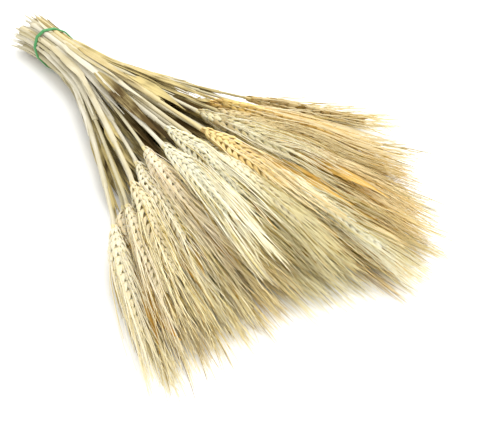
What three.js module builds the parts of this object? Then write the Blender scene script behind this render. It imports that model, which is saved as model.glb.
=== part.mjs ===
// A hand-tied bunch of dried, bleached triticale, lying on a table the way it is sold.
// Each stalk is one piece, as it grew: a straw, an ear with its florets in two rows, and the awns.
// One green rubber band holds the straws together near their cut ends.
// Millimetres, +Z up. +X runs from the cut ends to the awn tips, and the table is the plane z = 0.
import * as THREE from "three";

// Straws
const strawRadius = 2; // in its dry leaf sheath, where the band holds it
const strawTopRadius = 1.4; // bare, just under the ear
const strawSides = 5;
const strawGap = 0.35; // between neighbours in the band
const strawSlack = 0.26; // added to the room of a straw where the band no longer holds it
const slackLength = 120;
const strawSection = 30; // length between two sections of a straw
const packRows = 4; // rows of straws above and below the middle one, in the band
const cutEnd = 36; // length of straw on the far side of the band
const cutEndJitter = 5;
const cutEndSpread = 0.16; // how much wider the cut ends stand than the waist
const cutEndDrop = 0.8; // how far they sink towards the table

// Fan
const waist = 13; // half the length over which the straws lie parallel
const fanStep = THREE.MathUtils.degToRad(3.3); // angle between neighbouring columns of stalks
const fanJitter = THREE.MathUtils.degToRad(0.9);
const bendLength = 60; // distance over which a straw turns from the waist into the fan
const settleLength = 210; // distance over which the stalks come down into the pile

// Ears
const earLength = 112;
const earLengthJitter = 7;
const earRoom = 7; // radius of the space that an ear takes in the pile
const floretLevels = 7;
const floretReach = 0.85; // how far a floret reaches past its base, in levels
const floretAcross = 5.2; // distance of a floret's tip from the ear's axis, across and up
const floretUp = 3.3;
const coreAcross = 3.3;
const coreUp = 2.6;
const levelShift = [0, 0.25, 0.5, 0.25]; // the two rows of florets alternate by half a level
const rollJitter = THREE.MathUtils.degToRad(40);

// The columns of the fan, from its near side to its far side, read off the photograph: the angle
// of the top stalk in degrees, where its ear begins, how far the awns of the column reach, and the
// colour of the top stalk.
const topStalks = [
  { angle: -24.6, ear: 282, tips: 468, colour: "cream" },
  { angle: -21.1, ear: 265, tips: 457, colour: "cream" },
  { angle: -20.1, ear: 246, tips: 450, colour: "wheat" },
  { angle: -16.4, ear: 215, tips: 446, colour: "cream" },
  { angle: -10.2, ear: 208, tips: 443, colour: "cream" },
  { angle: -9.9, ear: 222, tips: 441, colour: "cream" },
  { angle: -4.6, ear: 196, tips: 442, colour: "cream" },
  { angle: -2.1, ear: 256, tips: 446, colour: "wheat" },
  { angle: 3.8, ear: 300, tips: 474, colour: "cream" },
  { angle: 2.2, ear: 219, tips: 472, colour: "gold" },
  { angle: 9.9, ear: 192, tips: 467, colour: "cream" },
  { angle: 16.0, ear: 200, tips: 458, colour: "wheat" },
  { angle: 20.4, ear: 193, tips: 440, colour: "gold" },
  { angle: 25.4, ear: 222, tips: 388, colour: "cream" },
  { angle: 34.9, ear: 204, tips: 352, colour: "wheat" },
];
const lowerEarStep = 16; // the ears begin that much nearer to the band from one stalk up to the next

// Awns
const awnLength = 70;
const awnLengthJitter = 9;
const awnThickness = 1;
const awnRoom = 6.8; // radius of the space that the awns take
const awnSpread = 5.2; // distance of their tips from the stalk's axis

// Pile
const stationStep = 20; // distance between the places where the stalks rest against each other
const stationCount = 27;
const settlePasses = 220;
const loosePasses = 150; // the stalks fall and straighten less and less until here
const fallPerPass = 0.3; // at this distance from the band, and more beyond
const fallDistance = 300;
const stiffness = 0.9;
const firmStations = 3; // the stations nearest the band keep their bend
const bendStations = 4; // and the next ones keep more of it than those further out
const layerPitch = 9; // between the layers, before they settle
const layerJitter = 3;

// Rubber band, set askew across the straws
const bandThickness = 1.4;
const bandWidth = 2.6;
const bandGap = 0.3;
const bandSkewAcross = 0.38; // travel along the bunch per unit across, and per unit up
const bandSkewUp = -0.48;

const strawPitch = 2 * strawRadius + strawGap;
const rowPitch = (strawPitch * Math.sqrt(3)) / 2;
const packRadius = 3.65 * strawPitch;
const bandHeight = packRows * rowPitch + strawRadius + bandGap + bandThickness; // of the waist's axis

const strawColours = {
  cream: new THREE.MeshStandardMaterial({ color: 0xf1e8cb, roughness: 0.62, metalness: 0 }),
  wheat: new THREE.MeshStandardMaterial({ color: 0xe6d3a0, roughness: 0.6, metalness: 0 }),
  gold: new THREE.MeshStandardMaterial({ color: 0xd3a65c, roughness: 0.58, metalness: 0 }),
};
const bandRubber = new THREE.MeshStandardMaterial({ color: 0x2f8a4c, roughness: 0.5, metalness: 0 });

// A repeatable stream of numbers from 0 to 1.
function draws(seed) {
  let state = seed;
  return () => (state = (state * 16807) % 2147483647) / 2147483647;
}

const smooth = (t) => {
  const c = Math.min(1, Math.max(0, t));
  return c * c * (3 - 2 * c);
};

// The straws in the band stand in a close pack. Straws above each other form a column, and each
// column opens into one ray of the fan.
function packedColumns() {
  const columns = [];
  for (let column = -7; column <= 7; column++) {
    const places = [];
    for (let row = -packRows; row <= packRows; row++) {
      const across = (column * strawPitch) / 2;
      const up = row * rowPitch;
      if ((column + row) % 2 === 0 && Math.hypot(across, up) < packRadius) places.push({ across, up });
    }
    columns.push({ column, places });
  }
  return columns;
}

function makeStalks() {
  const draw = draws(77);
  const jitter = (size) => (2 * draw() - 1) * size;
  const stalks = [];
  for (const { column, places } of packedColumns()) {
    places.forEach(({ across, up }, level) => {
      const { tips } = topStalks[column + 7];
      const top = level === places.length - 1 ? topStalks[column + 7] : null;
      const angle = column * fanStep + jitter(fanJitter);
      const ear = tips - earLength - awnLength - (level + draw()) * lowerEarStep;
      const colour = colourOf(column, draw());
      const stalk = {
        across,
        up,
        layer: earRoom + level * layerPitch + jitter(layerJitter),
        angle: top ? THREE.MathUtils.degToRad(top.angle) : angle,
        cutEnd: cutEnd + jitter(cutEndJitter),
        earStart: top ? top.ear : ear,
        earLength: earLength + jitter(earLengthJitter),
        roll: jitter(rollJitter),
        awnLength: awnLength + jitter(awnLengthJitter),
        colour: top ? top.colour : colour,
      };
      stalk.earEnd = stalk.earStart + stalk.earLength;
      stalk.awnLength = Math.min(stalk.awnLength, tips - stalk.earEnd);
      stalk.tip = stalk.earEnd + stalk.awnLength;
      stalks.push(stalk);
    });
  }
  settle(stalks);
  return stalks;
}

// The bleach leaves the near side paler than the far side.
function colourOf(column, chance) {
  const yellow = chance + column * 0.03;
  if (yellow > 0.75) return "gold";
  return yellow > 0.35 ? "wheat" : "cream";
}

// Radius of the space that a stalk keeps to itself at a distance from the band.
function roomOf(stalk, distance) {
  if (distance > stalk.tip) return 0;
  const ear = smooth((distance - stalk.earStart + 10) / 20);
  const awns = smooth((distance - stalk.earEnd) / 30);
  const straw = strawPitch / 2 + strawSlack * smooth(distance / slackLength);
  return straw + (earRoom - straw) * ear + (awnRoom - earRoom) * awns;
}

// How far a stalk reaches below its axis.
function bellyOf(stalk, distance) {
  const ear = smooth((distance - stalk.earStart + 10) / 20);
  const edge = Math.abs(Math.sin(stalk.roll)) * floretAcross + Math.abs(Math.cos(stalk.roll)) * floretUp;
  return strawRadius + (edge + awnThickness - strawRadius) * ear;
}

// Radius of the fan at a distance from the band, from where its rays meet.
function reach(distance) {
  const past = Math.max(0, distance - waist);
  return strawPitch / 2 / fanStep + past - bendLength * (1 - Math.exp(-past / bendLength));
}

const stationAt = (k) => waist + k * stationStep;

// Each stalk has a place at every station, across along the fan's arc and up. The stalks start in
// rays and layers, then sink, push each other aside and straighten until they lie on each other.
function settle(stalks) {
  for (const stalk of stalks) {
    stalk.places = [];
    for (let k = 0; k < stationCount; k++) {
      const settled = smooth((stationAt(k) - waist) / settleLength);
      const column = (stalk.across * fanStep * 2) / strawPitch;
      const angle = column + (stalk.angle - column) * settled;
      const packed = bandHeight + stalk.up;
      stalk.places.push({ arc: angle * reach(stationAt(k)), up: packed + (stalk.layer - packed) * settled });
    }
  }
  for (let pass = 0; pass < settlePasses; pass++) {
    const loose = Math.max(0, 1 - pass / loosePasses);
    for (const stalk of stalks) straighten(stalk, stiffness * loose);
    for (let k = 1; k < stationCount; k++) {
      pushApart(stalks, k, fallPerPass * loose * (stationAt(k) / fallDistance) ** 2);
    }
  }
}

function straighten({ places }, amount) {
  const before = places.map((place) => ({ ...place }));
  for (let k = 1; k + 1 < places.length; k++) {
    const give = amount * THREE.MathUtils.clamp((k - firmStations) / bendStations, 0, 1);
    places[k].arc += give * ((before[k - 1].arc + before[k + 1].arc) / 2 - before[k].arc);
    places[k].up += give * ((before[k - 1].up + before[k + 1].up) / 2 - before[k].up);
  }
}

function pushApart(stalks, k, fall) {
  const rooms = stalks.map((stalk) => roomOf(stalk, stationAt(k)));
  const moves = rooms.map((room) => ({ arc: 0, up: room > strawPitch ? -fall : 0 }));
  for (let i = 0; i < stalks.length; i++) {
    for (let j = i + 1; j < stalks.length; j++) {
      if (rooms[i] === 0 || rooms[j] === 0) continue;
      const arc = stalks[j].places[k].arc - stalks[i].places[k].arc;
      const up = stalks[j].places[k].up - stalks[i].places[k].up;
      const apart = Math.hypot(arc, up);
      const push = (0.4 * (rooms[i] + rooms[j] - apart)) / apart;
      if (push <= 0) continue;
      moves[i].arc -= push * arc;
      moves[i].up -= push * up;
      moves[j].arc += push * arc;
      moves[j].up += push * up;
    }
  }
  stalks.forEach((stalk, i) => {
    const place = stalk.places[k];
    place.arc += moves[i].arc;
    place.up = Math.max(place.up + moves[i].up, bellyOf(stalk, stationAt(k)));
  });
}

// The value between four evenly spaced ones, on a smooth curve through all of them.
function between(a, b, c, d, t) {
  return b + (t / 2) * (c - a + t * (2 * a - 5 * b + 4 * c - d + t * (3 * (b - c) + d - a)));
}

// The centre line of a stalk at a distance from the band.
function placeOf(stalk, distance) {
  if (distance <= waist) {
    const behind = Math.max(0, -distance - waist) / (cutEnd - waist);
    const spread = cutEndSpread * behind * behind;
    const up = bandHeight + stalk.up - cutEndDrop * behind * behind;
    return new THREE.Vector3(distance, stalk.across * (1 + spread), up);
  }
  const along = Math.min((distance - waist) / stationStep, stationCount - 1.001);
  const k = Math.floor(along);
  const near = [k - 1, k, k + 1, k + 2].map((n) => stalk.places[Math.min(Math.abs(n), stationCount - 1)]);
  const arc = between(...near.map((place) => place.arc), along - k);
  const up = between(...near.map((place) => place.up), along - k);
  const turn = arc / reach(distance);
  const opened = smooth((distance - waist) / settleLength);
  return new THREE.Vector3(
    distance - reach(distance) * (1 - Math.cos(turn)) * opened,
    arc - (arc - reach(distance) * Math.sin(turn)) * opened,
    up,
  );
}

// A point beside the centre line, in the stalk's own directions across and up.
function beside(stalk, distance, across, up) {
  const centre = placeOf(stalk, distance);
  const along = placeOf(stalk, distance + 1).sub(placeOf(stalk, distance - 1)).normalize();
  const left = new THREE.Vector3(-along.y, along.x, 0).normalize();
  const over = along.clone().cross(left);
  const cos = Math.cos(stalk.roll);
  const sin = Math.sin(stalk.roll);
  return centre
    .addScaledVector(left, across * cos - up * sin)
    .addScaledVector(over, across * sin + up * cos);
}

// Collects corners and faces. Corner lists run from the left, over the top, to the right.
class Shell {
  constructor() {
    this.points = [];
    this.faces = [];
  }
  add(point) {
    this.points.push(point.x, point.y, point.z);
    return this.points.length / 3 - 1;
  }
  ring(points) {
    return points.map((point) => this.add(point));
  }
  // Joins two closed rings of any number of corners.
  bridge(rear, front) {
    let i = 0;
    let j = 0;
    while (i < rear.length || j < front.length) {
      const a = rear[i % rear.length];
      const b = front[j % front.length];
      if ((i + 1) / rear.length <= (j + 1) / front.length) {
        this.faces.push(a, rear[(i + 1) % rear.length], b);
        i++;
      } else {
        this.faces.push(a, front[(j + 1) % front.length], b);
        j++;
      }
    }
  }
  // Closes a ring to one corner in front of it.
  point(ring, tip) {
    ring.forEach((corner, i) => this.faces.push(corner, ring[(i + 1) % ring.length], tip));
  }
  // Closes the rear end of a tube.
  cap(ring) {
    for (let i = 1; i < ring.length - 1; i++) this.faces.push(ring[0], ring[i + 1], ring[i]);
  }
  mesh(name, material) {
    const geometry = new THREE.BufferGeometry();
    geometry.setAttribute("position", new THREE.Float32BufferAttribute(this.points, 3));
    geometry.setIndex(this.faces);
    geometry.computeVertexNormals();
    const mesh = new THREE.Mesh(geometry, material);
    mesh.name = name;
    return mesh;
  }
}

function strawRing(shell, stalk, distance) {
  const grown = smooth(distance / stalk.earStart);
  const radius = strawRadius + (strawTopRadius - strawRadius) * grown;
  const corners = [];
  for (let i = 0; i < strawSides; i++) {
    const turn = (2 * Math.PI * i) / strawSides;
    corners.push(beside(stalk, distance, radius * Math.cos(turn), radius * Math.sin(turn)));
  }
  return shell.ring(corners);
}

// Width of the ear along its length, from 0 at its foot to 1 at its end.
const earProfile = (share) => 0.62 + 0.38 * smooth(share / 0.22) - 0.46 * smooth((share - 0.3) / 0.7);

// A floret rises from four corners of the ear's core to its tip. Every other one has an awn.
function floret(shell, stalk, corners, level, strip, levelLength) {
  const share = (level + 0.5) / floretLevels;
  const width = earProfile(share);
  const quarter = ((strip + 0.5) * Math.PI) / 2;
  const acrossWay = Math.cos(quarter) * Math.SQRT2;
  const upWay = Math.sin(quarter) * Math.SQRT2;
  const shift = (levelShift[strip] + levelShift[(strip + 1) % 4]) / 2;
  const distance = stalk.earStart + (level + 0.5 + shift + floretReach) * levelLength;
  const across = acrossWay * floretAcross * width;
  const up = upWay * floretUp * width;
  if ((level + strip) % 2 === 1) {
    shell.point(corners, shell.add(beside(stalk, distance, across, up)));
    return;
  }
  const half = awnThickness / 2;
  const small = shell.ring([
    beside(stalk, distance, across + acrossWay * half, up + upWay * half),
    beside(stalk, distance, across - upWay * half, up + acrossWay * half),
    beside(stalk, distance, across + upWay * half, up - acrossWay * half),
  ]);
  shell.bridge(corners, small);
  const spread = awnSpread / Math.hypot(floretAcross, floretUp);
  const end = distance + stalk.awnLength;
  const tip = beside(stalk, end, acrossWay * floretAcross * spread, upWay * floretUp * spread);
  shell.point(small, shell.add(tip));
}

function ear(shell, stalk, neck) {
  const levelLength = stalk.earLength / (floretLevels + 1);
  const rings = [];
  for (let level = 0; level <= floretLevels; level++) {
    const width = earProfile(level / floretLevels);
    rings.push(
      shell.ring(
        levelShift.map((shift, corner) => {
          const turn = (corner * Math.PI) / 2;
          const distance = stalk.earStart + (level + shift) * levelLength;
          const across = Math.cos(turn) * coreAcross * width;
          return beside(stalk, distance, across, Math.sin(turn) * coreUp * width);
        }),
      ),
    );
  }
  shell.bridge(neck, rings[0]);
  for (let level = 0; level < floretLevels; level++) {
    for (let strip = 0; strip < 4; strip++) {
      const next = (strip + 1) % 4;
      const [rear, front] = [rings[level], rings[level + 1]];
      const corners = [rear[strip], rear[next], front[next], front[strip]];
      floret(shell, stalk, corners, level, strip, levelLength);
    }
  }
  const end = stalk.earStart + stalk.earLength + levelLength / 2;
  const half = awnThickness / 2;
  const small = shell.ring(
    [0, 1, 2].map((i) => {
      const turn = (2 * Math.PI * i) / 3;
      return beside(stalk, end, half * Math.cos(turn), half * Math.sin(turn));
    }),
  );
  shell.bridge(rings[floretLevels], small);
  shell.point(small, shell.add(beside(stalk, stalk.tip, 0, 0)));
}

function stalkMesh(stalk, name) {
  const shell = new Shell();
  const stations = [-stalk.cutEnd, -waist];
  for (let at = waist; at < stalk.earStart - strawSection / 2; at += strawSection) stations.push(at);
  stations.push(stalk.earStart - 6);
  const rings = stations.map((distance) => strawRing(shell, stalk, distance));
  shell.cap(rings[0]);
  for (let i = 0; i + 1 < rings.length; i++) shell.bridge(rings[i], rings[i + 1]);
  ear(shell, stalk, rings[rings.length - 1]);
  return shell.mesh(name, strawColours[stalk.colour]);
}

function halfway(a, b) {
  const length = Math.hypot(a.across + b.across, a.up + b.up);
  return { across: (a.across + b.across) / length, up: (a.up + b.up) / length };
}

// The band follows the outermost straws of the pack, round their corners and straight between.
function bandMesh() {
  const outermost = packedColumns()
    .flatMap(({ places }) => places)
    .filter(({ across, up }) => Math.hypot(across, up) > packRadius - 0.1 * strawPitch)
    .sort((a, b) => Math.atan2(a.up, a.across) - Math.atan2(b.up, b.across));
  const outline = [];
  outermost.forEach((straw, i) => {
    const next = outermost[(i + 1) % outermost.length];
    const length = Math.hypot(next.across - straw.across, next.up - straw.up);
    const way = { across: (next.up - straw.up) / length, up: (straw.across - next.across) / length };
    const before = outline[outline.length - 1];
    if (before) outline.push({ straw, way: halfway(before.way, way) });
    outline.push({ straw, way }, { straw: next, way });
  });
  outline.push({ straw: outermost[0], way: halfway(outline[outline.length - 1].way, outline[0].way) });
  const shell = new Shell();
  const loops = [
    [0, -1],
    [1, -1],
    [1, 1],
    [0, 1],
  ].map(([outer, end]) =>
    shell.ring(
      outline.map(({ straw, way }) => {
        const offset = strawRadius + bandGap + outer * bandThickness;
        const across = straw.across + way.across * offset;
        const up = straw.up + way.up * offset;
        const along = bandSkewAcross * across + bandSkewUp * up + (end * bandWidth) / 2;
        return new THREE.Vector3(along, across, bandHeight + up);
      }),
    ),
  );
  loops.forEach((loop, i) => shell.bridge(loop, loops[(i + 1) % loops.length]));
  return shell.mesh("rubber_band", bandRubber);
}

const bunch = new THREE.Group();
const stalks = makeStalks();
stalks.forEach((stalk, i) => {
  bunch.add(stalkMesh(stalk, "stalk_" + String(i + 1).padStart(2, "0")));
});
bunch.add(bandMesh());

// The origin is the middle of the footprint, on the table.
const box = new THREE.Box3().setFromObject(bunch);
bunch.position.set(-(box.min.x + box.max.x) / 2, -(box.min.y + box.max.y) / 2, -box.min.z);

export default bunch;
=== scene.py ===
import math
import random

import bmesh
import bpy
import numpy as np
from mathutils import Matrix, Vector


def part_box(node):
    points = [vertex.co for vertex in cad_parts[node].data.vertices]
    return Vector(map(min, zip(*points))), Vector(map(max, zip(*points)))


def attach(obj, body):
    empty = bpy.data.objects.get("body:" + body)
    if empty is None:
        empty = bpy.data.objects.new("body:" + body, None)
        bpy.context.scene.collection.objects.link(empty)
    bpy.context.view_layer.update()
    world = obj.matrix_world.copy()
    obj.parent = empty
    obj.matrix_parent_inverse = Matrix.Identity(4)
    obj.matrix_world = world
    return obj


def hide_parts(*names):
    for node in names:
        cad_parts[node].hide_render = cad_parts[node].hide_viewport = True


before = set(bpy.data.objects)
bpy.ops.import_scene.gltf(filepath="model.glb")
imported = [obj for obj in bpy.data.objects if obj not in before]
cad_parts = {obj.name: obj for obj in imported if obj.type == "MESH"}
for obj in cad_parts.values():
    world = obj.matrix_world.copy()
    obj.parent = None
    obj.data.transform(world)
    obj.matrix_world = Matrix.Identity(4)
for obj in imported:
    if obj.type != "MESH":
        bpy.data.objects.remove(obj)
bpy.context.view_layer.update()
print("frame loaded:", len(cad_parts), "nodes")


# Where the stalks lie: the same rules and numbers as the CAD source, in millimetres
bunch = {
    "seed": 77,
    "strawRadius": 2.0,  # in its dry sheath
    "strawTopRadius": 1.4,
    "strawGap": 0.35,
    "strawSlack": 0.26,
    "slackLength": 120,
    "packRows": 4,
    "packColumns": 7,  # on each side of the middle one
    "packRadius": 3.65,  # in straws
    "cutEnd": 36,
    "cutEndJitter": 5,
    "cutEndSpread": 0.16,
    "cutEndDrop": 0.8,
    "waist": 13,
    "fanStep": math.radians(3.3),
    "fanJitter": math.radians(0.9),
    "bendLength": 60,
    "settleLength": 210,
    "earLength": 112,
    "earLengthJitter": 7,
    "earRoom": 7,
    "earWidening": 20,  # the length over which a stalk widens to its ear, and to its awns
    "awnWidening": 30,
    "floretAcross": 5.2,
    "floretUp": 3.3,
    "rollJitter": math.radians(40),
    "lowerEarStep": 16,
    "awnLength": 70,
    "awnLengthJitter": 9,
    "awnThickness": 1,
    "awnRoom": 6.8,
    "stationStep": 20,
    "stationCount": 27,
    "firmStations": 3,
    "bendStations": 4,
    "settlePasses": 220,
    "loosePasses": 150,
    "fallPerPass": 0.3,
    "fallDistance": 300,
    "stiffness": 0.9,
    "pushShare": 0.4,
    "layerPitch": 9,
    "layerJitter": 3,
    "yellowPerColumn": 0.03,  # the far side is yellower
    "wheatFrom": 0.35,
    "goldFrom": 0.75,
    "bandThickness": 1.4,
    "bandWidth": 2.6,
    "bandGap": 0.3,
    "bandSkewAcross": 0.38,
    "bandSkewUp": -0.48,
}
# The columns from the near side to the far side: the angle of the top stalk, where its ear
# begins, how far the awns of the column reach, and the colour of the top stalk.
topStalks = [
    (-24.6, 282, 468, "cream"),
    (-21.1, 265, 457, "cream"),
    (-20.1, 246, 450, "wheat"),
    (-16.4, 215, 446, "cream"),
    (-10.2, 208, 443, "cream"),
    (-9.9, 222, 441, "cream"),
    (-4.6, 196, 442, "cream"),
    (-2.1, 256, 446, "wheat"),
    (3.8, 300, 474, "cream"),
    (2.2, 219, 472, "gold"),
    (9.9, 192, 467, "cream"),
    (16.0, 200, 458, "wheat"),
    (20.4, 193, 440, "gold"),
    (25.4, 222, 388, "cream"),
    (34.9, 204, 352, "wheat"),
]
strawPitch = 2 * bunch["strawRadius"] + bunch["strawGap"]
rowPitch = strawPitch * math.sqrt(3) / 2
packRadius = bunch["packRadius"] * strawPitch
bandHeight = (
    bunch["packRows"] * rowPitch + bunch["strawRadius"] + bunch["bandGap"] + bunch["bandThickness"]
)


def smooth(t):
    c = np.clip(t, 0, 1)
    return c * c * (3 - 2 * c)


def packedColumns():
    columns = []
    for column in range(-bunch["packColumns"], bunch["packColumns"] + 1):
        places = []
        for row in range(-bunch["packRows"], bunch["packRows"] + 1):
            across, up = column * strawPitch / 2, row * rowPitch
            if (column + row) % 2 == 0 and math.hypot(across, up) < packRadius:
                places.append((across, up))
        columns.append((column, places))
    return columns


def makeStalks():
    state = bunch["seed"]

    def draw():  # the same small generator as in the CAD source
        nonlocal state
        state = state * 16807 % 2147483647
        return state / 2147483647

    def jitter(size):
        return (2 * draw() - 1) * size

    stalks = []
    for column, places in packedColumns():
        for level, (across, up) in enumerate(places):
            topAngle, topEar, tips, topColour = topStalks[column + bunch["packColumns"]]
            onTop = level == len(places) - 1
            angle = column * bunch["fanStep"] + jitter(bunch["fanJitter"])
            earStart = tips - bunch["earLength"] - bunch["awnLength"]
            earStart -= (level + draw()) * bunch["lowerEarStep"]
            yellow = draw() + column * bunch["yellowPerColumn"]
            colour = "wheat" if yellow > bunch["wheatFrom"] else "cream"
            if yellow > bunch["goldFrom"]:
                colour = "gold"
            stalk = {"column": column, "across": across, "up": up, "onTop": onTop}
            stalk["layer"] = bunch["earRoom"] + level * bunch["layerPitch"] + jitter(bunch["layerJitter"])
            stalk["angle"] = math.radians(topAngle) if onTop else angle
            stalk["cutEnd"] = bunch["cutEnd"] + jitter(bunch["cutEndJitter"])
            stalk["earStart"] = topEar if onTop else earStart
            stalk["earLength"] = bunch["earLength"] + jitter(bunch["earLengthJitter"])
            stalk["roll"] = jitter(bunch["rollJitter"])
            stalk["awnLength"] = bunch["awnLength"] + jitter(bunch["awnLengthJitter"])
            stalk["colour"] = topColour if onTop else colour
            stalk["earEnd"] = stalk["earStart"] + stalk["earLength"]
            stalk["awnLength"] = min(stalk["awnLength"], tips - stalk["earEnd"])
            stalk["tip"] = stalk["earEnd"] + stalk["awnLength"]
            stalks.append(stalk)
    settle(stalks)
    return stalks


def reach(distance):
    past = np.maximum(0, distance - bunch["waist"])
    bend = bunch["bendLength"]
    return strawPitch / 2 / bunch["fanStep"] + past - bend * (1 - np.exp(-past / bend))


# From 0 on the straw to 1 on the ear
def earShare(stalk, distance):
    widening = bunch["earWidening"]
    return smooth((distance - stalk["earStart"] + widening / 2) / widening)


def roomOf(stalk, distance):
    awns = smooth((distance - stalk["earEnd"]) / bunch["awnWidening"])
    room = strawPitch / 2 + bunch["strawSlack"] * smooth(distance / bunch["slackLength"])
    room += (bunch["earRoom"] - room) * earShare(stalk, distance)
    room += (bunch["awnRoom"] - bunch["earRoom"]) * awns
    return np.where(distance > stalk["tip"], 0, room)


def bellyOf(stalk, distance):
    roll = stalk["roll"]
    edge = abs(math.sin(roll)) * bunch["floretAcross"] + abs(math.cos(roll)) * bunch["floretUp"]
    thicker = edge + bunch["awnThickness"] - bunch["strawRadius"]
    return bunch["strawRadius"] + thicker * earShare(stalk, distance)


# The stalks sink, push each other aside and straighten until they lie on each other.
def settle(stalks):
    stations = bunch["waist"] + bunch["stationStep"] * np.arange(bunch["stationCount"], dtype=float)
    settled = smooth((stations - bunch["waist"]) / bunch["settleLength"])[:, None]
    across, up, layer, angle = (
        np.array([stalk[key] for stalk in stalks]) for key in ("across", "up", "layer", "angle")
    )
    column = across * bunch["fanStep"] * 2 / strawPitch
    arc = (column + (angle - column) * settled) * reach(stations)[:, None]
    height = bandHeight + up + (layer - bandHeight - up) * settled
    rooms = np.stack([roomOf(stalk, stations) for stalk in stalks], axis=1)
    bellies = np.stack([bellyOf(stalk, stations) for stalk in stalks], axis=1)
    touching = rooms[:, :, None] + rooms[:, None, :]
    there = (rooms[:, :, None] > 0) & (rooms[:, None, :] > 0) & ~np.eye(len(stalks), dtype=bool)
    past = np.arange(1, len(stations) - 1) - bunch["firmStations"]
    give = np.clip(past / bunch["bendStations"], 0, 1)[:, None]
    for step in range(bunch["settlePasses"]):
        loose = max(0, 1 - step / bunch["loosePasses"])
        for line in (arc, height):
            straighter = (line[:-2] + line[2:]) / 2 - line[1:-1]
            line[1:-1] += bunch["stiffness"] * loose * give * straighter
        toArc = arc[:, None, :] - arc[:, :, None]
        toUp = height[:, None, :] - height[:, :, None]
        apart = np.hypot(toArc, toUp)
        overlap = bunch["pushShare"] * (touching - apart) / np.where(there, apart, 1)
        push = np.where(there, overlap, 0).clip(min=0)
        fall = bunch["fallPerPass"] * loose * (stations[:, None] / bunch["fallDistance"]) ** 2
        arc[1:] -= (push * toArc).sum(axis=2)[1:]
        drop = (push * toUp).sum(axis=2) + np.where(rooms > strawPitch, fall, 0)
        height[1:] = np.maximum(height - drop, bellies)[1:]
    for i, stalk in enumerate(stalks):
        stalk["arcs"], stalk["heights"] = arc[:, i].copy(), height[:, i].copy()


# The centre line of a stalk at an array of distances from the band.
def placeOf(stalk, distance):
    behind = np.maximum(0, -distance - bunch["waist"]) / (bunch["cutEnd"] - bunch["waist"])
    rear = np.stack(
        [
            distance,
            stalk["across"] * (1 + bunch["cutEndSpread"] * behind**2),
            bandHeight + stalk["up"] - bunch["cutEndDrop"] * behind**2,
        ],
        axis=-1,
    )
    last = bunch["stationCount"] - 1
    along = np.clip((distance - bunch["waist"]) / bunch["stationStep"], 0, last - 0.001)
    k = np.floor(along).astype(int)
    t = along - k

    def curve(values):
        a, b, c, d = (values[np.minimum(np.abs(k + step), last)] for step in (-1, 0, 1, 2))
        return b + (t / 2) * (c - a + t * (2 * a - 5 * b + 4 * c - d + t * (3 * (b - c) + d - a)))

    arc, up = curve(stalk["arcs"]), curve(stalk["heights"])
    radius = reach(distance)
    turn = arc / radius
    opened = smooth((distance - bunch["waist"]) / bunch["settleLength"])
    front = np.stack(
        [
            distance - radius * (1 - np.cos(turn)) * opened,
            arc - (arc - radius * np.sin(turn)) * opened,
            up,
        ],
        axis=-1,
    )
    return np.where((distance <= bunch["waist"])[..., None], rear, front)


bandLow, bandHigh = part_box("rubber_band")
bunchMiddle = (bandLow + bandHigh) * 500  # of the waist, in millimetres
stalks = makeStalks()
print("stalks settled:", len(stalks))


tableRest = {
    "from": 1,  # what would be lower than this, in millimetres, bends towards the table
    "least": 0.1,  # and stays that high over it
}


# Lays a straight mesh, x along the stalk, on the stalk's centre line. Whatever would sink into
# the table lies down on it. The straight place stays as the attribute that the patterns follow.
def bendIntoPile(mesh, stalk):
    straight = np.empty(len(mesh.vertices) * 3, np.float32)
    mesh.vertices.foreach_get("co", straight)
    mesh.attributes.new("fibre", "FLOAT_VECTOR", "POINT").data.foreach_set("vector", straight)
    straight = straight.reshape(-1, 3).astype(float)
    distance = straight[:, 0]
    centre = placeOf(stalk, distance)
    along = placeOf(stalk, distance + 1) - placeOf(stalk, distance - 1)
    along /= np.linalg.norm(along, axis=1, keepdims=True)
    left = np.stack([-along[:, 1], along[:, 0], np.zeros(len(along))], axis=1)
    left /= np.linalg.norm(left, axis=1, keepdims=True)
    over = np.cross(along, left)
    cos, sin = math.cos(stalk["roll"]), math.sin(stalk["roll"])
    across, up = straight[:, 1:2], straight[:, 2:3]
    bent = centre + left * (across * cos - up * sin) + over * (across * sin + up * cos)
    low = bent[:, 2] < tableRest["from"]
    span = tableRest["from"] - tableRest["least"]
    bent[low, 2] = tableRest["least"] + span * np.exp((bent[low, 2] - tableRest["from"]) / span)
    bent[:, :2] += np.array(bunchMiddle[:2])
    mesh.vertices.foreach_set("co", (bent / 1000).astype(np.float32).ravel())
    mesh.update()


def toLinear(hexColour):
    channels = [int(hexColour[i : i + 2], 16) / 255 for i in (1, 3, 5)]
    return (*[c / 12.92 if c <= 0.04045 else ((c + 0.055) / 1.055) ** 2.4 for c in channels], 1)


def addNode(tree, kind, inputs, **settings):
    node = tree.nodes.new("ShaderNode" + kind)
    for name, value in settings.items():
        setattr(node, name, value)
    for socket, value in inputs.items():
        if isinstance(value, bpy.types.NodeSocket):
            tree.links.new(value, node.inputs[socket])
        else:
            node.inputs[socket].default_value = value
    return node


# What all the dry parts share. Sizes are in millimetres.
grain = {
    "streakSpan": (0.35, 0.7),  # of the noise, from pale to deep
    "patchSpan": (0.4, 0.7),
    "glossSpan": (0.3, 0.7),  # and from a waxy to a dull fibre
    "waxy": 0.08,  # smoother than the look says
    "dull": 0.1,  # rougher
    "depth": 0.2,  # of the relief
    "ior": 1.45,  # of wax and cellulose
    "glowColour": (1, 0.85, 0.5),
}


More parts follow.
